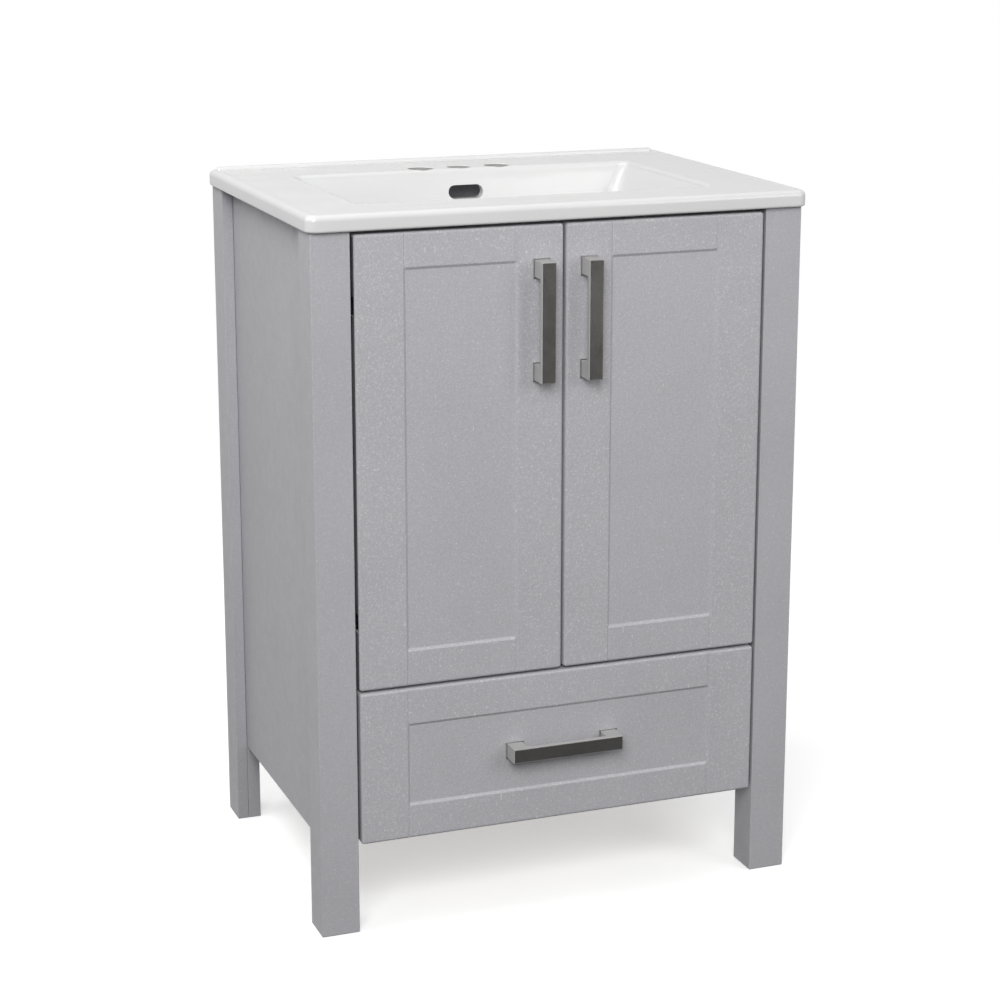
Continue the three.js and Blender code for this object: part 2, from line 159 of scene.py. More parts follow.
def ceramic():
    """White vitreous glaze: glossy, with the slow waviness of a fired surface and tiny pinholes."""
    g = Graph("ceramic_white")
    cloud = g.noise(9, detail=3)
    colour = g.mix(g.spread(cloud, 0.3, 0.7), (0.685, 0.688, 0.685, 1), (0.71, 0.712, 0.708, 1))
    pinhole = g.spread(g.cells(75), 0.012, 0.03, 1, 0)
    colour = g.mix(g.math("MULTIPLY", pinhole, 0.12), colour, grey(0.5))
    wave = g.bump(g.noise(14, detail=1), 0.25, 0.5 * MM)
    return g.shade(
        Base_Color=colour,
        Roughness=g.spread(cloud, 0.3, 0.7, 0.17, 0.23),
        IOR=1.5,
        Coat_Weight=0.2,
        Coat_Roughness=0.1,
        Normal=wave,
    )


def bare_ceramic():
    """Fired body without glaze, inside the holes: matt, mid grey and gritty."""
    g = Graph("ceramic_bare")
    grit = g.noise(900, detail=3)
    colour = g.mix(g.spread(grit, 0.3, 0.7), (0.30, 0.30, 0.29, 1), (0.42, 0.42, 0.41, 1))
    return g.shade(
        Base_Color=colour,
        Roughness=g.spread(grit, 0.3, 0.7, 0.7, 0.85),
        Normal=g.bump(grit, 0.3, 0.1 * MM),
    )


def brushed_nickel(name, along):
    """Satin nickel, brushed along one axis: paler and barely metallic on the sides as a painted highlight,
    and more matt there; darker on the feet as painted shade near the board.
    """
    g = Graph(name)
    stretch = tuple(0.02 if axis == along else 1.0 for axis in range(3))
    hairs = g.noise(4200, detail=3, roughness=0.7, stretch=stretch)
    cloud = g.noise(24, detail=3)
    turned = g.node("ShaderNodeSeparateXYZ", Vector=g.node("ShaderNodeTexCoord").outputs["Normal"])
    # side is 1 on faces turned away from front and back (sides, top and bottom): it paints a highlight there
    side = g.spread(g.math("ABSOLUTE", turned.outputs["Y"], 0.0), 0.35, 0.9, 1, 0)
    colour = g.mix(g.spread(hairs, 0.25, 0.75), (0.50, 0.49, 0.475, 1), (0.66, 0.65, 0.63, 1))
    colour = g.mix(g.spread(cloud, 0.38, 0.62, 0, 0.8), colour, (0.36, 0.35, 0.335, 1))
    # painted highlight: the sides near white
    colour = g.mix(g.math("MULTIPLY", side, 0.9), colour, (0.95, 0.95, 0.94, 1))
    depth = g.node("ShaderNodeSeparateXYZ", Vector=g.place).outputs["Y"]
    # painted shade: the feet darken towards the board they stand on
    colour = g.mix(g.spread(depth, *FOOT_SHADE_FROM, 0, 0.72), colour, (0.28, 0.275, 0.27, 1))
    return g.shade(
        Base_Color=colour,
        Metallic=g.spread(side, 0, 1, 1.0, 0.1),
        Roughness=g.math("ADD", g.spread(hairs, 0.2, 0.8, 0.24, 0.38), g.math("MULTIPLY", side, 0.12)),
        Normal=g.bump(hairs, 0.22, 0.04 * MM),
    )


def zinc_steel(name, shade):
    """Zinc plate, bright at shade 1 and darkened below it as painted shade: soft spangles and rolling marks.
    """
    g = Graph(name)
    spangle = g.cells(300, "Color")
    rolling = g.noise(1500, detail=2, stretch=(1, 0.05, 1))
    dark = grey(shade, (0.58, 0.60, 0.63))
    light = grey(shade, (0.70, 0.71, 0.73))
    colour = g.mix(g.spread(spangle, 0, 1), dark, light)
    return g.shade(
        Base_Color=colour,
        Metallic=1.0,
        Roughness=g.spread(rolling, 0.25, 0.75, 0.22, 0.42),
        Normal=g.bump(rolling, 0.15, 0.05 * MM),
    )


def birch_plywood():
    """Pale lacquered birch: long grain and darker pores, both running front to back."""
    g = Graph("birch_plywood")
    grain = g.noise(60, detail=6, roughness=0.62, stretch=(1, 0.08, 1))
    pores = g.noise(900, detail=2, stretch=(1, 0.03, 1))
    colour = g.mix(g.spread(grain, 0.32, 0.68), (0.56, 0.40, 0.235, 1), (0.72, 0.565, 0.375, 1))
    colour = g.mix(g.spread(pores, 0.62, 0.8, 0, 0.35), colour, (0.33, 0.215, 0.115, 1))
    return g.shade(
        Base_Color=colour,
        Roughness=g.spread(grain, 0.3, 0.7, 0.38, 0.52),
        Normal=g.bump(pores, 0.25, 0.1 * MM),
    )


def carcass_board():
    """Matt grey foil over board, with a faint printed fibre."""
    g = Graph("carcass_board")
    fibre = g.noise(420, detail=3, stretch=(1, 0.2, 1))
    cloud = g.noise(11, detail=3)
    colour = g.mix(g.spread(cloud, 0.3, 0.7), grey(0.42, COOL), grey(0.46, COOL))
    colour = g.mix(g.spread(fibre, 0.4, 0.8, 0, 0.2), colour, grey(0.34, COOL))
    return g.shade(
        Base_Color=colour,
        Roughness=g.spread(fibre, 0.3, 0.7, 0.5, 0.62),
        Normal=g.bump(fibre, 0.2, 0.08 * MM),
    )


def clear_bumper():
    """Cloudy clear elastomer."""
    g = Graph("clear_bumper")
    cloud = g.noise(500, detail=3)
    colour = g.mix(g.spread(cloud, 0.3, 0.7), (0.60, 0.61, 0.60, 1), (0.76, 0.77, 0.77, 1))
    return g.shade(
        Base_Color=colour,
        Roughness=g.spread(cloud, 0.3, 0.7, 0.3, 0.45),
        Subsurface_Weight=0.3,
        Subsurface_Scale=2 * MM,
    )


def pale_floor():
    """A pale floor that fades out well away from the object."""
    g = Graph("pale_floor")
    colour = g.mix(g.spread(g.noise(5, detail=4), 0.3, 0.7), grey(0.86), grey(0.885))
    far = g.node("ShaderNodeVectorMath", {"operation": "LENGTH"})
    g.feed(far.inputs[0], g.place)
    return g.shade(
        Base_Color=colour,
        Roughness=0.85,
        Emission_Color=grey(1.0),
        Emission_Strength=FLOOR_GLOW,
        Alpha=g.spread(far.outputs["Value"], *FLOOR_FADE, 1, 0),
    )


door_foil = painted("grey_foil", PAINT_TONE, 0.52, 0.45)
materials = {
    "grey_paint": painted("grey_paint", PAINT_TONE, 0.3, 0.3),
    "carcass_board": carcass_board(),
    "birch_plywood": birch_plywood(),
    "ceramic_white": ceramic(),
    "satin_nickel": brushed_nickel("satin_nickel_across", 0),
    "zinc_steel": zinc_steel("zinc_steel", 1.0),
    "clear_bumper": clear_bumper(),
}
# Painted shade: a dark foil tone for the doors' hinge-side edges, which sit in the gap.
gap_shade_edge = painted("grey_foil_gap_shade", PAINT_TONE * 0.3, 0.2, 0.3)
upright_nickel = brushed_nickel("satin_nickel_upright", 2)
# Painted shade: the hinges' steel darkened to 0.28 of its tone, so it stays dark in the door gaps.
shaded_steel = zinc_steel("zinc_steel_shaded", 0.28)

# ---- Mesh helpers ----

SHARP_DEGREES = 38
TURN_STEPS = 48
HALF_TURN_STEPS = 16
UP = Vector((0, 0, 1))


def smooth_normals(piece, sharp_degrees=SHARP_DEGREES):
    """Smooth shading that keeps real corners and lets the flat faces rule beside a rounded edge."""
    for face in piece.data.polygons:
        face.use_smooth = True
    piece.data.set_sharp_from_angle(angle=math.radians(sharp_degrees))
    weighted = piece.modifiers.new("flat_faces_rule", "WEIGHTED_NORMAL")
    weighted.keep_sharp = True


def new_piece(name, bm, material):
    """A mesh object from bm, which is used up."""
    bmesh.ops.recalc_face_normals(bm, faces=bm.faces)
    mesh = bpy.data.meshes.new(name)
    bm.to_mesh(mesh)
    bm.free()
    piece = bpy.data.objects.new(name, mesh)
    bpy.context.scene.collection.objects.link(piece)
    mesh.materials.append(material)
    smooth_normals(piece)
    return piece


def stand_for(piece, node):
    """piece rides on node's body and is shown in its place."""
    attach(piece, BODY_OF[node])
    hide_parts(node)
    return piece


def middle_of(node):
    low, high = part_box(node)
    return (low + high) / 2


def cleaned(node):
    """A CAD node's mesh with its doubled points merged and its flat faces made whole."""
    bm = bmesh.new()
    bm.from_mesh(frame["nodes"][node].data)
    bmesh.ops.remove_doubles(bm, verts=bm.verts, dist=0.002 * MM)
    bmesh.ops.dissolve_limit(bm, angle_limit=math.radians(0.5), verts=bm.verts, edges=bm.edges)
    return bm


def round_edges(bm, width, segments, sharper_than=40):
    """Rounds every edge whose faces turn by more than sharper_than degrees."""
    limit = math.radians(sharper_than)
    edges = [e for e in bm.edges if len(e.link_faces) == 2 and e.calc_face_angle(0) > limit]
    bmesh.ops.bevel(
        bm, geom=edges, offset=width, segments=segments, profile=0.5, affect="EDGES", clamp_overlap=True
    )


def softened(node, width, material=None, segments=3):
    """A CAD node with its edges rounded over, shown in the node's place."""
    bm = cleaned(node)
    round_edges(bm, width, segments)
    piece = new_piece(f"{node}_finish", bm, material or materials[SLOT_OF[node]])
    return stand_for(piece, node)


def cutter(name, bm):
    """A mesh for carve(), which uses it up."""
    tool = new_piece(name, bm, materials["zinc_steel"])
    tool.hide_render = True
    return tool


def carve(piece, tools, operation="DIFFERENCE"):
    """Cuts each tool out of piece, or joins it on, for good."""
    for tool in tools:
        modifier = piece.modifiers.new(tool.name, "BOOLEAN")
        modifier.operation = operation
        modifier.solver = "EXACT"
        modifier.object = tool
    bpy.context.view_layer.update()
    shaped = bpy.data.meshes.new_from_object(piece.evaluated_get(bpy.context.evaluated_depsgraph_get()))
    piece.modifiers.clear()
    material = piece.data.materials[0]
    piece.data = shaped
    piece.data.materials.clear()
    piece.data.materials.append(material)
    for tool in tools:
        bpy.data.objects.remove(tool)
    return piece


def box_bm(low, high):
    bm = bmesh.new()
    bmesh.ops.create_cube(bm, size=1)
    size = Vector(high) - Vector(low)
    for vert in bm.verts:
        vert.co = Vector(low) + Vector((vert.co[i] + 0.5) * size[i] for i in range(3))
    return bm


def turned_bm(profile, centre):
    """A closed profile of (radius, height) points, its ends on the upright axis, turned about it."""
    bm = bmesh.new()
    across = UP.orthogonal().normalized()
    other = UP.cross(across)
    turns = [2 * math.pi * i / TURN_STEPS for i in range(TURN_STEPS)]
    outward = [across * math.cos(turn) + other * math.sin(turn) for turn in turns]
    rings = []
    for radius, height in profile:
        base = centre + UP * height
        ways = outward if radius else outward[:1]
        rings.append([bm.verts.new(base + way * radius) for way in ways])
    for one, two in zip(rings, rings[1:]):
        for i in range(TURN_STEPS):
            j = (i + 1) % TURN_STEPS
            corners = [one[i % len(one)], one[j % len(one)], two[j % len(two)], two[i % len(two)]]
            bm.faces.new(list(dict.fromkeys(corners)))
    return bm


# ---- Door and drawer fronts ----

STILE = 58.5 * MM
STEP_WIDTH = 3.4 * MM  # the eased step between stile, rail and field
RAIL_DROP = 0.35 * MM
FIELD_DROP = 2.5 * MM
GROOVE_DEPTH = 1.1 * MM  # between a stile and the end of a rail
GROOVE_SIDES = (1.0 * MM, 2.8 * MM)  # its steep side on the stile, its slope on the rail
FRONT_ROUND = 3.6 * MM
BACK_ROUND = 0.7 * MM
CREASE_STEPS = 8
CREASE_REACH = 3 * MM
ROUND_STEPS = 6
MOUTH_INBOARD = 9 * MM  # the hinge mouth, from the pivot
MOUTH_FORWARD = 5.5 * MM
MOUTH_HALF = 11 * MM
MOUTH_PAST_EDGE = 20 * MM  # how far its cutter runs out past the door
MOUTH_PAST_BACK = 5 * MM
DOOR_RAILS = (341 * MM, 785 * MM)  # the heights where the rails end and the field starts
DRAWER_RAILS = (151.5 * MM, 250 * MM)


def smooth_step(t):
    return t * t * (3 - 2 * t)


def eased(t):
    """0 to 1 with soft shoulders and a straight middle."""
    t = min(max(t, 0.0), 1.0)
    return 0.65 * t + 0.35 * smooth_step(t)


def stepped(value, low, high):
    """1 between low and high, 0 outside, with an eased step centred on each."""
    rising = eased((value - low) / STEP_WIDTH + 0.5)
    falling = eased((high - value) / STEP_WIDTH + 0.5)
    return min(rising, falling)


def groove(value, low, high):
    """1 along each stile's edge, falling steeply onto the stile and gently onto the rail."""
    depths = []
    for inward in (value - low, high - value):
        side = GROOVE_SIDES[1] if inward > 0 else GROOVE_SIDES[0]
        depths.append(max(0.0, 1 - abs(inward) / side))
    return max(depths)


def grid_lines(low, high, steps_at):
    """Places across a front: close together round each edge and at every step."""
    lines = set()
    for i in range(ROUND_STEPS + 1):
        inset = FRONT_ROUND * (1 - math.cos(math.pi / 2 * i / ROUND_STEPS))
        lines |= {low + inset, high - inset}
    for place in steps_at:
        for i in range(-CREASE_STEPS, CREASE_STEPS + 1):
            lines.add(place + CREASE_REACH * i / CREASE_STEPS)
    return sorted(lines)


def past_round(value, low, high):
    """How far value lies inside the rounded band at either end, signed outwards."""
    if value < low + FRONT_ROUND:
        return value - low - FRONT_ROUND
    return max(0.0, value - high + FRONT_ROUND)


def rounded_place(x, z, low, high):
    """Moves a grid place in to the rounded corner: its place, its drop, and the way out from it."""
    over = Vector((past_round(x, low.x, high.x), past_round(z, low.z, high.z)))
    reach = over.length
    kept = over * (FRONT_ROUND / reach) if reach > FRONT_ROUND else over
    drop = FRONT_ROUND - math.sqrt(max(0.0, FRONT_ROUND**2 - kept.length_squared))
    x, z = x - over.x + kept.x, z - over.y + kept.y
    return x, z, drop, over.normalized() if reach else over


def relief(x, z, stiles, rails):
    """How far a front's face lies behind its stiles at a place."""
    field = stepped(z, *rails)
    behind = stepped(x, *stiles) * (RAIL_DROP + (FIELD_DROP - RAIL_DROP) * field)
    return behind + GROOVE_DEPTH * groove(x, *stiles) * (1 - field)


def face_grid(bm, low, high, stiles, rails):
    """The front's face: rows of points, and for each point the way out at its rounded edge."""
    columns = grid_lines(low.x, high.x, stiles)
    grid, outward = [], {}
    for z in grid_lines(low.z, high.z, rails):
        line = []
        for x in columns:
            px, pz, drop, way = rounded_place(x, z, low, high)
            behind = relief(px, pz, stiles, rails)
            vert = bm.verts.new((px, low.y + behind * (1 - drop / FRONT_ROUND) + drop, pz))
            outward[vert] = Vector((way.x, 0, way.y))
            line.append(vert)
        grid.append(line)
    for below, above in zip(grid, grid[1:]):
        for i in range(len(columns) - 1):
            bm.faces.new((below[i], below[i + 1], above[i + 1], above[i]))
    return grid, outward


def shaker_front(node, stiles, rails):
    """A foil-wrapped board: stiles run full height, the rails sit a little back, the field more."""
    low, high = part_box(node)
    bm = bmesh.new()
    grid, outward = face_grid(bm, low, high, stiles, rails)
    right, left = [row[-1] for row in grid[1:]], [row[0] for row in grid[-2:0:-1]]
    rim = grid[0] + right + grid[-1][-2::-1] + left
    edge = [bm.verts.new((v.co.x, high.y - BACK_ROUND, v.co.z)) for v in rim]
    back = [bm.verts.new(Vector((v.co.x, high.y, v.co.z)) - outward[v] * BACK_ROUND) for v in rim]
    for near, far in ((rim, edge), (edge, back)):
        for i in range(len(rim)):
            j = (i + 1) % len(rim)
            bm.faces.new((near[i], far[i], far[j], near[j]))
    bm.faces.new(back[::-1])
    piece = new_piece(f"{node}_finish", bm, door_foil)
    if node.startswith("door"):
        carve(piece, notch_tools(node, high.y))
        smooth_normals(piece)
        darken_hinge_edge(piece)
    return stand_for(piece, node)


def darken_hinge_edge(door):
    """The door's edge by its hinges is darker: painted shade for the dark gap beside the post."""
    half_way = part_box("drawer_front")[1].x / 2
    door.data.materials.append(gap_shade_edge)
    for face in door.data.polygons:
        if abs(face.normal.x) > 0.98 and abs(face.center.x) > half_way:
            face.material_index = 1


def notch_tools(node, back_y):
    """The hinge mouths: open through the back and the outer edge, round each hinge's barrel."""
    side = node.split("_")[-1]
    tools = []
    for level in ("lower", "upper"):
        pivot = middle_of(f"hinge_pin_{side}_{level}")
        height = middle_of(f"hinge_leaf_{side}_{level}").z
        outward = math.copysign(1, pivot.x)
        inner = pivot.x - outward * MOUTH_INBOARD
        outer = pivot.x + outward * MOUTH_PAST_EDGE
        bm = box_bm(
            (min(inner, outer), pivot.y - MOUTH_FORWARD, height - MOUTH_HALF),
            (max(inner, outer), back_y + MOUTH_PAST_BACK, height + MOUTH_HALF),
        )
        tools.append(cutter(f"mouth_{level}", bm))
    return tools


def add_fronts():
    half_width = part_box("drawer_front")[1].x
    outer_stile = half_width - STILE
    shaker_front("door_left", (-outer_stile, -STILE), DOOR_RAILS)
    shaker_front("door_right", (STILE, outer_stile), DOOR_RAILS)
    shaker_front("drawer_front", (-outer_stile, outer_stile), DRAWER_RAILS)


# ---- Sink top ----

ARC_STEPS = 8  # to each rounded corner of a level
SIDE_STEPS = 6  # to each straight side of it
SLAB_THICK = 20 * MM
SLAB_GAP = 0.3 * MM  # between the slab and the posts
SLAB_CORNER = 12 * MM
CORNER_TIGHTENING = 0.6  # how fast its radius shrinks as its outline moves in
LEAST_CORNER = 3 * MM
SLAB_MIDDLE_Y = -2 * MM  # the slab's middle where the places below are measured
UNDER_ROUND = 3 * MM
EDGE_ROUND = 7 * MM
BEAD_WIDTH = 18 * MM  # the raised rim, from the slab's edge
BEAD_HEIGHT = 1.5 * MM
FLAT_STRIP = 3 * MM  # kept flat beside each rounding
MOUTH_X = 220 * MM
MOUTH_Y = (-138 * MM, 121 * MM)
MOUTH_CORNER = 12 * MM
MOUTH_ROUND = 6 * MM
FLOOR_X = 140 * MM
FLOOR_Y = (-90 * MM, 76 * MM)
FLOOR_CORNER = 18 * MM
BASIN_DEPTH = 128 * MM
BASIN_FALL = 3 * MM  # how much shallower the wall starts than its curve says
WALL = 9 * MM
NECK = 4 * MM  # the cove where the basin leaves the slab's underside
UNDER_LAND = 26 * MM  # the flat band under the slab's edge
# How far the basin's wall has come in (1 is the floor's outline) at each share of its depth.
WALL_CURVE = (
    (0.0, 0.0), (0.12, 0.07), (0.24, 0.165), (0.36, 0.26), (0.5, 0.38), (0.64, 0.5),
    (0.76, 0.61), (0.86, 0.73), (0.93, 0.84), (0.975, 0.93), (1.0, 1.06),
)
DRAIN_RADIUS = 22 * MM
DRAIN_Y = -3 * MM
# The dished floor round the drain: radius in drain radii, and height in millimetres.
DRAIN_DISH = ((3.2, 2.0), (2.2, 1.2), (1.5, 0.7), (1.16, 0.4), (1.07, -0.1), (1.0, -1.8))
DRAIN_BOSS = 2.2  # its underside, in drain radii
LIP_ENDS = 10 * MM  # the ridge at the wall: how far in from each end it stops
LIP_Y = (-15 * MM, -6 * MM)  # from the slab's rear edge
LIP_ROUND = 3.4 * MM
LIP_ROOT = 4 * MM
FAUCET_STEP = 50.8 * MM
FAUCET_RADII = (16 * MM, 15 * MM, 16 * MM)
FAUCET_Y = 140 * MM
FAUCET_FLARE = 1.2 * MM
HOLE_DEPTH = 40 * MM
OVERFLOW_Z = 820 * MM
OVERFLOW_SIZE = (46 * MM, 17 * MM)
OVERFLOW_Y = (85 * MM, 160 * MM)
GLAZE_SHARP_DEGREES = 32


def ring(x, y, corner, z):
    """A level rounded rectangle as points, anticlockwise from the +X side."""
    spots = (
        (x[1] - corner, y[1] - corner, 0),
        (x[0] + corner, y[1] - corner, 90),
        (x[0] + corner, y[0] + corner, 180),
        (x[1] - corner, y[0] + corner, 270),
    )
    points = []
    for cx, cy, start in spots:
        for i in range(ARC_STEPS + 1):
            angle = math.radians(start + 90 * i / ARC_STEPS)
            points.append(Vector((cx + corner * math.cos(angle), cy + corner * math.sin(angle), z)))
    spaced = []
    for i, point in enumerate(points):
        spaced.append(point)
        if i % (ARC_STEPS + 1) == ARC_STEPS:
            after = points[(i + 1) % len(points)]
            spaced += [point.lerp(after, k / SIDE_STEPS) for k in range(1, SIDE_STEPS)]
    return spaced


def circle(radius, centre_y, z):
    """A circle with as many points as ring(), in step with it."""
    count = 4 * (ARC_STEPS + SIDE_STEPS)
    angles = [2 * math.pi * (i + SIDE_STEPS / 2) / count for i in range(count)]
    return [Vector((radius * math.cos(a), centre_y + radius * math.sin(a), z)) for a in angles]


def skin_bm(rings):
    """Rings joined in order, the last one to the first, into one closed skin."""
    bm = bmesh.new()
    loops = [[bm.verts.new(point) for point in points] for points in rings]
    for k, one in enumerate(loops):
        two = loops[(k + 1) % len(loops)]
        for i in range(len(one)):
            j = (i + 1) % len(one)
            bm.faces.new((one[i], one[j], two[j], two[i]))
    return bm


def quarter(steps):
    """A quarter turn from (0, 0) to (1, 1): how far over, and how far up."""
    angles = [math.pi / 2 * i / steps for i in range(steps + 1)]
    return [(1 - math.cos(a), math.sin(a)) for a in angles]


class SinkLevels:
    """The sink top's levels: in at the underside, over the rim, down to the drain and back up."""

    def __init__(self):
        self.low, self.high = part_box("sink_top")
        self.shift = (self.low.y + self.high.y) / 2 - SLAB_MIDDLE_Y
        self.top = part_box("front_post_left")[1].z + SLAB_THICK
        self.deck = self.top - BEAD_HEIGHT
        self.bottom = self.top - SLAB_THICK + SLAB_GAP
        self.floor = self.deck - BASIN_DEPTH
        self.base = self.floor - WALL

    def slab(self, inset, z):
        """The slab's outline moved in by inset, its corners tightening as it goes."""
        x = (self.low.x + inset, self.high.x - inset)
        y = (self.low.y + inset, self.high.y - inset)
        return ring(x, y, max(SLAB_CORNER - inset * CORNER_TIGHTENING, LEAST_CORNER), z)

    def basin(self, share, grow, z):
        """The basin's outline, from its mouth at share 0 to its floor at 1, moved out by grow."""
        half = MOUTH_X + (FLOOR_X - MOUTH_X) * share + grow
        front, rear = [a + (b - a) * share + self.shift for a, b in zip(MOUTH_Y, FLOOR_Y)]
        corner = MOUTH_CORNER + (FLOOR_CORNER - MOUTH_CORNER) * share + max(grow, 0)
        return ring((-half, half), (front - grow, rear + grow), corner, z)

    def drain(self, radius, z):
        return circle(radius, DRAIN_Y + self.shift, z)

    def rim(self):
        rings = []
        for over, up in quarter(4):
            rings.append(self.slab(UNDER_ROUND * (1 - up), self.bottom + UNDER_ROUND * over))
        for over, up in quarter(7):
            rings.append(self.slab(EDGE_ROUND * over, self.top - EDGE_ROUND * (1 - up)))
        for i in range(1, 7):
            t = i / 6
            inset = EDGE_ROUND + (BEAD_WIDTH - EDGE_ROUND) * t
            rings.append(self.slab(inset, self.top - BEAD_HEIGHT * smooth_step(t)))
        rings.append(self.slab(BEAD_WIDTH + FLAT_STRIP, self.deck))
        return rings

    def bowl(self):
        rings = [self.basin(0, MOUTH_ROUND + FLAT_STRIP, self.deck)]
        for over, up in quarter(6):
            rings.append(self.basin(0, MOUTH_ROUND * (1 - up), self.deck - MOUTH_ROUND * over))
        for share, inward in WALL_CURVE[1:]:
            dip = BASIN_DEPTH * share - BASIN_FALL * (1 - share)
            rings.append(self.basin(inward, 0, self.deck - dip))
        for radius, height in DRAIN_DISH:
            rings.append(self.drain(DRAIN_RADIUS * radius, self.floor + height * MM))
        return rings

    def underside(self):
        rings = [
            self.drain(DRAIN_RADIUS, self.base + 1 * MM),
            self.drain(DRAIN_RADIUS + 1 * MM, self.base),
            self.drain(DRAIN_RADIUS * DRAIN_BOSS, self.base),
        ]
        for share, inward in reversed(WALL_CURVE[2:-1]):
            rings.append(self.basin(inward, WALL, self.base + BASIN_DEPTH * (1 - share) * 0.98))
        rings.append(self.basin(0.08, WALL, self.bottom - NECK))
        rings.append(self.basin(0.05, WALL + NECK, self.bottom))
        rings.append(self.slab(UNDER_LAND, self.bottom))
        rings.append(self.slab(UNDER_ROUND + FLAT_STRIP, self.bottom))
        return rings


def rear_lip(levels):
    low, high = levels.low, levels.high
    lip = box_bm(
        (low.x + LIP_ENDS, high.y + LIP_Y[0], levels.deck - LIP_ROOT),
        (high.x - LIP_ENDS, high.y + LIP_Y[1], high.z),
    )
    bmesh.ops.bevel(lip, geom=lip.edges[:], offset=LIP_ROUND, segments=6, profile=0.5, affect="EDGES")
    return cutter("rear_lip", lip)


def faucet_hole(name, radius, centre, deck):
    """A cutter for a hole whose upper edge is rounded over."""
    mouth = [(radius + FAUCET_FLARE * over, deck - FAUCET_FLARE * (1 - up)) for over, up in quarter(6)]
    above = deck + 4 * MM
    wall = [(0, deck - HOLE_DEPTH), (radius, deck - HOLE_DEPTH)]
    return cutter(name, turned_bm(wall + mouth + [(radius + FAUCET_FLARE, above), (0, above)], centre))


def overflow_slot(shift):
    """A long round-ended cutter along Y."""
    wide, tall = OVERFLOW_SIZE
    half, radius = (wide - tall) / 2, tall / 2
    outline = []
    for side, start in ((1, -90), (-1, 90)):
        for i in range(HALF_TURN_STEPS + 1):
            angle = math.radians(start + 180 * i / HALF_TURN_STEPS)
            outline.append((side * half + radius * math.cos(angle), OVERFLOW_Z + radius * math.sin(angle)))
    bm = bmesh.new()
    near, far = ([bm.verts.new((x, y + shift, z)) for x, z in outline] for y in OVERFLOW_Y)
    for i in range(len(near)):
        j = (i + 1) % len(near)
        bm.faces.new((near[i], near[j], far[j], far[i]))
    bm.faces.new(near[::-1])
    bm.faces.new(far)
    return cutter("overflow_tool", bm)


def strip_glaze(sink, holes):
    """Gives the walls of the (middle, radius) holes the bare body's material."""
    sink.data.materials.append(bare_ceramic())
    for face in sink.data.polygons:
        for middle, radius in holes:
            within = (face.center.to_2d() - middle.to_2d()).length < radius + 0.05 * MM
            if within and abs(face.normal.z) < 0.3:
                face.material_index = 1


def add_sink():
    levels = SinkLevels()
    skin = skin_bm(levels.rim() + levels.bowl() + levels.underside())
    sink = new_piece("sink_top_finish", skin, materials["ceramic_white"])
    carve(sink, [rear_lip(levels)], "UNION")
    tools, holes = [], []
    for i, radius in enumerate(FAUCET_RADII):
        centre = Vector(((i - 1) * FAUCET_STEP, FAUCET_Y + levels.shift, 0))
        holes.append((centre, radius))
        tools.append(faucet_hole(f"faucet_{i}", radius, centre, levels.deck))
    carve(sink, tools + [overflow_slot(levels.shift)])
    strip_glaze(sink, holes)
    smooth_normals(sink, GLAZE_SHARP_DEGREES)
    stand_for(sink, "sink_top")


# ---- Everything that keeps its CAD shape ----

# How far each kind of piece is rounded over, in millimetres, by the start of its name.
EDGE_WIDTHS = {
    "front_post": 1.3, "rear_post": 0.5, "side_panel": 0.3, "front_rail": 0.8, "back_rail": 0.6,
    "shelf_board": 0.6, "back_panel": 0.5, "runner_cleat": 0.6, "corner_brace": 1.0,
    "drawer_side": 1.2, "drawer_back": 0.8, "drawer_bottom": 0.4,
    "slide": 0.35, "hinge": 0.4, "door_bumper": 1.4, "drawer_bumper": 1.4,
}


def add_plain_pieces():
    for node in sorted(frame["nodes"]):
        width = next((w for start, w in EDGE_WIDTHS.items() if node.startswith(start)), None)
        if width:
            softened(node, width * MM, shaded_steel if node.startswith("hinge") else None)


GRIP_ROUND = 1.3 * MM  # round the front of a grip
SMALL_ROUND = 0.35 * MM
FRONT_TOLERANCE = 0.1 * MM
RECESS_HALVES = {"wide": (2.4 * MM, 0.55 * MM), "tall": (0.55 * MM, 2.4 * MM)}  # the screw's cross
RECESS_DEPTH = 1.3 * MM


def add_handles():
    """Bar pulls: a wide soft edge round the front of the grip, narrow ones elsewhere, and screws."""
    for node in sorted(frame["nodes"]):
        if "screw" in node:
            add_handle_screw(node)
        elif "handle" in node:
            bm = cleaned(node)
            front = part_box(node)[0].y + FRONT_TOLERANCE
            rim = [e for e in bm.edges if all(v.co.y < front for v in e.verts)]
            bmesh.ops.bevel(bm, geom=rim, offset=GRIP_ROUND, segments=3, profile=0.5, affect="EDGES")
            round_edges(bm, SMALL_ROUND, 2, sharper_than=50)
            metal = upright_nickel if node.startswith("door") else materials["satin_nickel"]
            stand_for(new_piece(f"{node}_finish", bm, metal), node)


def add_handle_screw(node):
    """A screw with a cross recess in its head, which faces the back of the board."""
    piece = softened(node, SMALL_ROUND, segments=2)
    middle = middle_of(node)
    head_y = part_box(node)[1].y
    tools = []
    for name, (half_x, half_z) in RECESS_HALVES.items():
        bm = box_bm(
            (middle.x - half_x, head_y - RECESS_DEPTH, middle.z - half_z),
            (middle.x + half_x, head_y + 1 * MM, middle.z + half_z),
        )
        tools.append(cutter(f"recess_{name}", bm))
    carve(piece, tools)
    smooth_normals(piece)


# ---- Studio ----

FLOOR_RADIUS = 2.0
FLOOR_Z = -0.2 * MM
CAMERA_PLACE = (-1.0269, -2.7148, 1.2277)
CAMERA_DIP = 0.2408  # radians below level
CAMERA_TURN = -0.36116  # radians, from facing the wall squarely
CAMERA_LENS = 86.92
CAMERA_SHIFT = -0.05

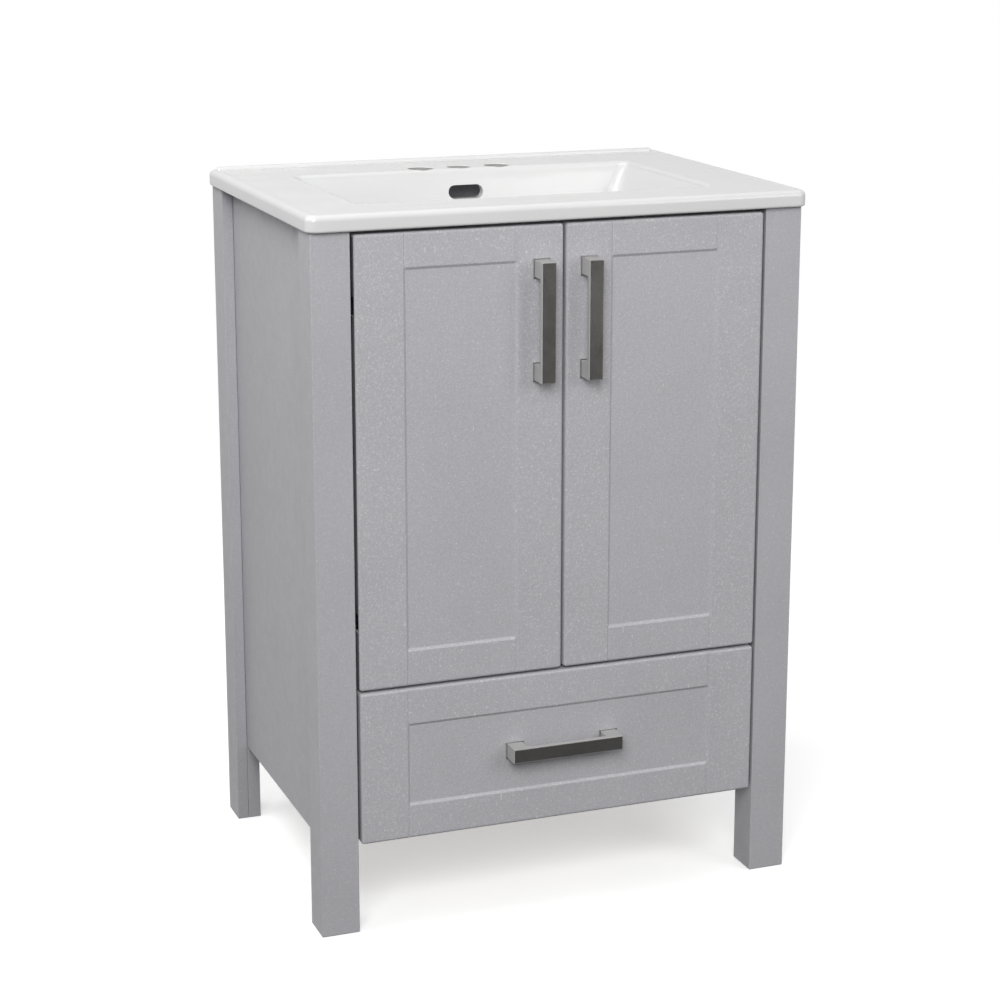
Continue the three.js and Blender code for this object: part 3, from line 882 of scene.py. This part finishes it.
# Name, place, what it faces, size, watts.
LIGHTS = (
    ("key", (-1.35, -2.9, 2.3), (0, 0, 0.5), (1.8, 1.8), 90),
    ("fill", (1.9, -2.4, 1.6), (0, 0, 0.5), (1.6, 1.6), 24),
    ("left", (-1.3, 0.1, 2.1), (-0.3, 0, 0.8), (1.2, 1.0), 13.5),
    ("rear", (0.9, 3.0, 0.9), (0, 0, 0.5), (1.6, 1.2), 42),
)

# The surroundings' light, as sums of ramps: an axis, where each ramp starts and ends, and its levels.
SOFT_LIGHT = (
    ("Z", (-0.3, 0.9), (0.05, 0.36)),
    ("X", (0.2, -0.9), (0.0, 0.07)),
)
MIRRORED_LIGHT = (
    ("Y", (-0.75, 0.25), (0.11, 0.85)),
    ("Z", (0.25, 0.7), (0.0, 0.45)),
    ("X", (-0.4, -0.95), (0.0, 0.7)),
)


def add_floor():
    bm = bmesh.new()
    bmesh.ops.create_circle(bm, cap_ends=True, segments=96, radius=FLOOR_RADIUS)
    floor = new_piece("floor", bm, pale_floor())
    floor.location.z = FLOOR_Z
    floor.visible_diffuse = False
    floor.visible_glossy = False


def add_light(name, place, aim, size, power):
    light = bpy.data.lights.new(name, "AREA")
    light.shape = "RECTANGLE"
    light.size, light.size_y = size
    light.energy = power
    holder = bpy.data.objects.new(name, light)
    bpy.context.scene.collection.objects.link(holder)
    holder.location = place
    holder.rotation_euler = (Vector(aim) - Vector(place)).to_track_quat("-Z", "Y").to_euler()
    return holder


def add_world():
    """Studio surroundings: white to the eye, softer to matt surfaces than to glossy ones."""
    world = bpy.data.worlds.new("studio")
    bpy.context.scene.world = world
    world.use_nodes = True
    tree = world.node_tree
    tree.nodes.clear()
    way = tree.nodes.new("ShaderNodeSeparateXYZ")
    tree.links.new(tree.nodes.new("ShaderNodeTexCoord").outputs["Generated"], way.inputs["Vector"])
    ray = tree.nodes.new("ShaderNodeLightPath")

    def ramp_sum(ramps):
        total = None
        for axis, ends, levels in ramps:
            ramp = tree.nodes.new("ShaderNodeMapRange")
            tree.links.new(way.outputs[axis], ramp.inputs["Value"])
            for socket, number in zip(ramp.inputs[1:5], ends + levels):
                socket.default_value = number
            if total is None:
                total = ramp.outputs["Result"]
                continue
            plus = tree.nodes.new("ShaderNodeMath")
            tree.links.new(total, plus.inputs[0])
            tree.links.new(ramp.outputs["Result"], plus.inputs[1])
            total = plus.outputs["Value"]
        return total

    level = tree.nodes.new("ShaderNodeMix")
    tree.links.new(ray.outputs["Is Glossy Ray"], level.inputs["Factor"])
    tree.links.new(ramp_sum(SOFT_LIGHT), level.inputs["A"])
    tree.links.new(ramp_sum(MIRRORED_LIGHT), level.inputs["B"])
    glow = tree.nodes.new("ShaderNodeBackground")
    tree.links.new(level.outputs["Result"], glow.inputs["Strength"])
    seen = tree.nodes.new("ShaderNodeBackground")
    choose = tree.nodes.new("ShaderNodeMixShader")
    tree.links.new(ray.outputs["Is Camera Ray"], choose.inputs["Fac"])
    tree.links.new(glow.outputs["Background"], choose.inputs[1])
    tree.links.new(seen.outputs["Background"], choose.inputs[2])
    for background in (glow, seen):
        background.inputs["Color"].default_value = (1, 1, 1, 1)
    output = tree.nodes.new("ShaderNodeOutputWorld")
    tree.links.new(choose.outputs["Shader"], output.inputs["Surface"])


def add_camera():
    camera = bpy.data.cameras.new("camera")
    camera.sensor_width = 36
    camera.lens = CAMERA_LENS
    camera.shift_y = CAMERA_SHIFT
    camera.clip_end = 50
    holder = bpy.data.objects.new("camera", camera)
    bpy.context.scene.collection.objects.link(holder)
    holder.location = CAMERA_PLACE
    holder.rotation_euler = (math.pi / 2 - CAMERA_DIP, 0, CAMERA_TURN)
    bpy.context.scene.camera = holder


def add_studio():
    bpy.context.scene.view_settings.view_transform = "Standard"
    add_floor()
    add_world()
    add_camera()
    lights = {row[0]: add_light(*row) for row in LIGHTS}
    lights["rear"].visible_glossy = False  # its reflection would streak the glaze


add_studio()
add_fronts()
add_sink()
add_plain_pieces()
add_handles()
